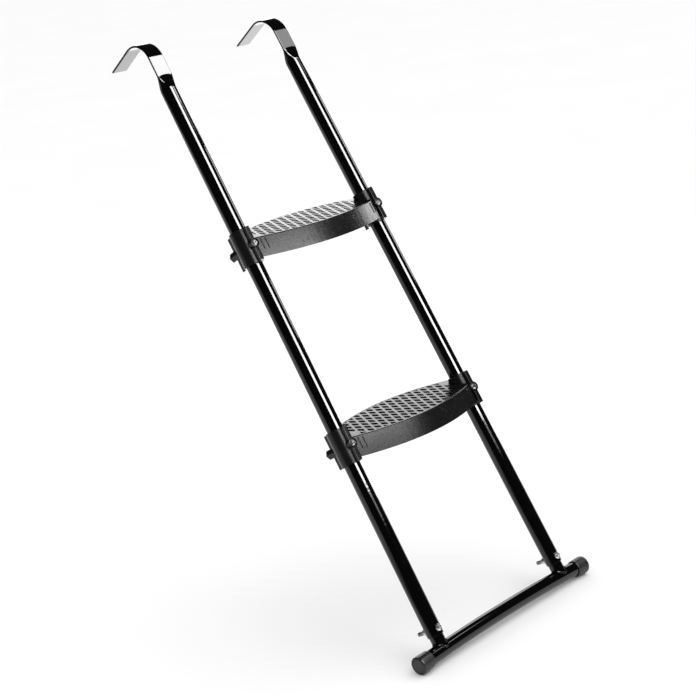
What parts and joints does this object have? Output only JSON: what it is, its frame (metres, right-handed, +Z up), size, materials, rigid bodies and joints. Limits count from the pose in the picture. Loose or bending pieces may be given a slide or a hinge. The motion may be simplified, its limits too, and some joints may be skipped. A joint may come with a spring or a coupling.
{
  "type": "hook-on step ladder",
  "caption": "Leaning ladder with splayed tube rails that flatten into hooks, moulded lens-shaped steps bolted round the rails, and an arched foot tube with flared end caps.",
  "frame": {"origin": "on the ground under the middle of the foot tube, on the ladder's middle plane", "axes": "+Z up, +X across the ladder to the right rail, +Y to the rear, the side that the hooks reach to; the ladder leans 28 degrees towards +Y, so its treads are level"},
  "size_m": [0.3906, 0.5485, 0.8795],
  "materials": {
    "rail_paint": "gloss black paint on steel tube",
    "step_plastic": "satin black moulded plastic with a fine grain",
    "cap_plastic": "satin black moulded plastic",
    "fastener_zinc": "bright zinc plate"
  },
  "bodies": {
    "root": {"end_cap_left": "cap_plastic", "end_cap_right": "cap_plastic", "foot_bolt_left": "fastener_zinc", "foot_bolt_right": "fastener_zinc", "foot_nut_left": "fastener_zinc", "foot_nut_right": "fastener_zinc", "foot_spigot_left": "rail_paint", "foot_spigot_right": "rail_paint", "foot_tube": "rail_paint", "lower_rail_left": "rail_paint", "lower_rail_right": "rail_paint", "lower_step": "step_plastic", "lower_step_bolt_left": "fastener_zinc", "lower_step_bolt_right": "fastener_zinc", "lower_step_nut_left": "fastener_zinc", "lower_step_nut_right": "fastener_zinc", "upper_rail_left": "rail_paint", "upper_rail_right": "rail_paint", "upper_step": "step_plastic", "upper_step_bolt_left": "fastener_zinc", "upper_step_bolt_right": "fastener_zinc", "upper_step_nut_left": "fastener_zinc", "upper_step_nut_right": "fastener_zinc"}
  },
  "joints": []
}
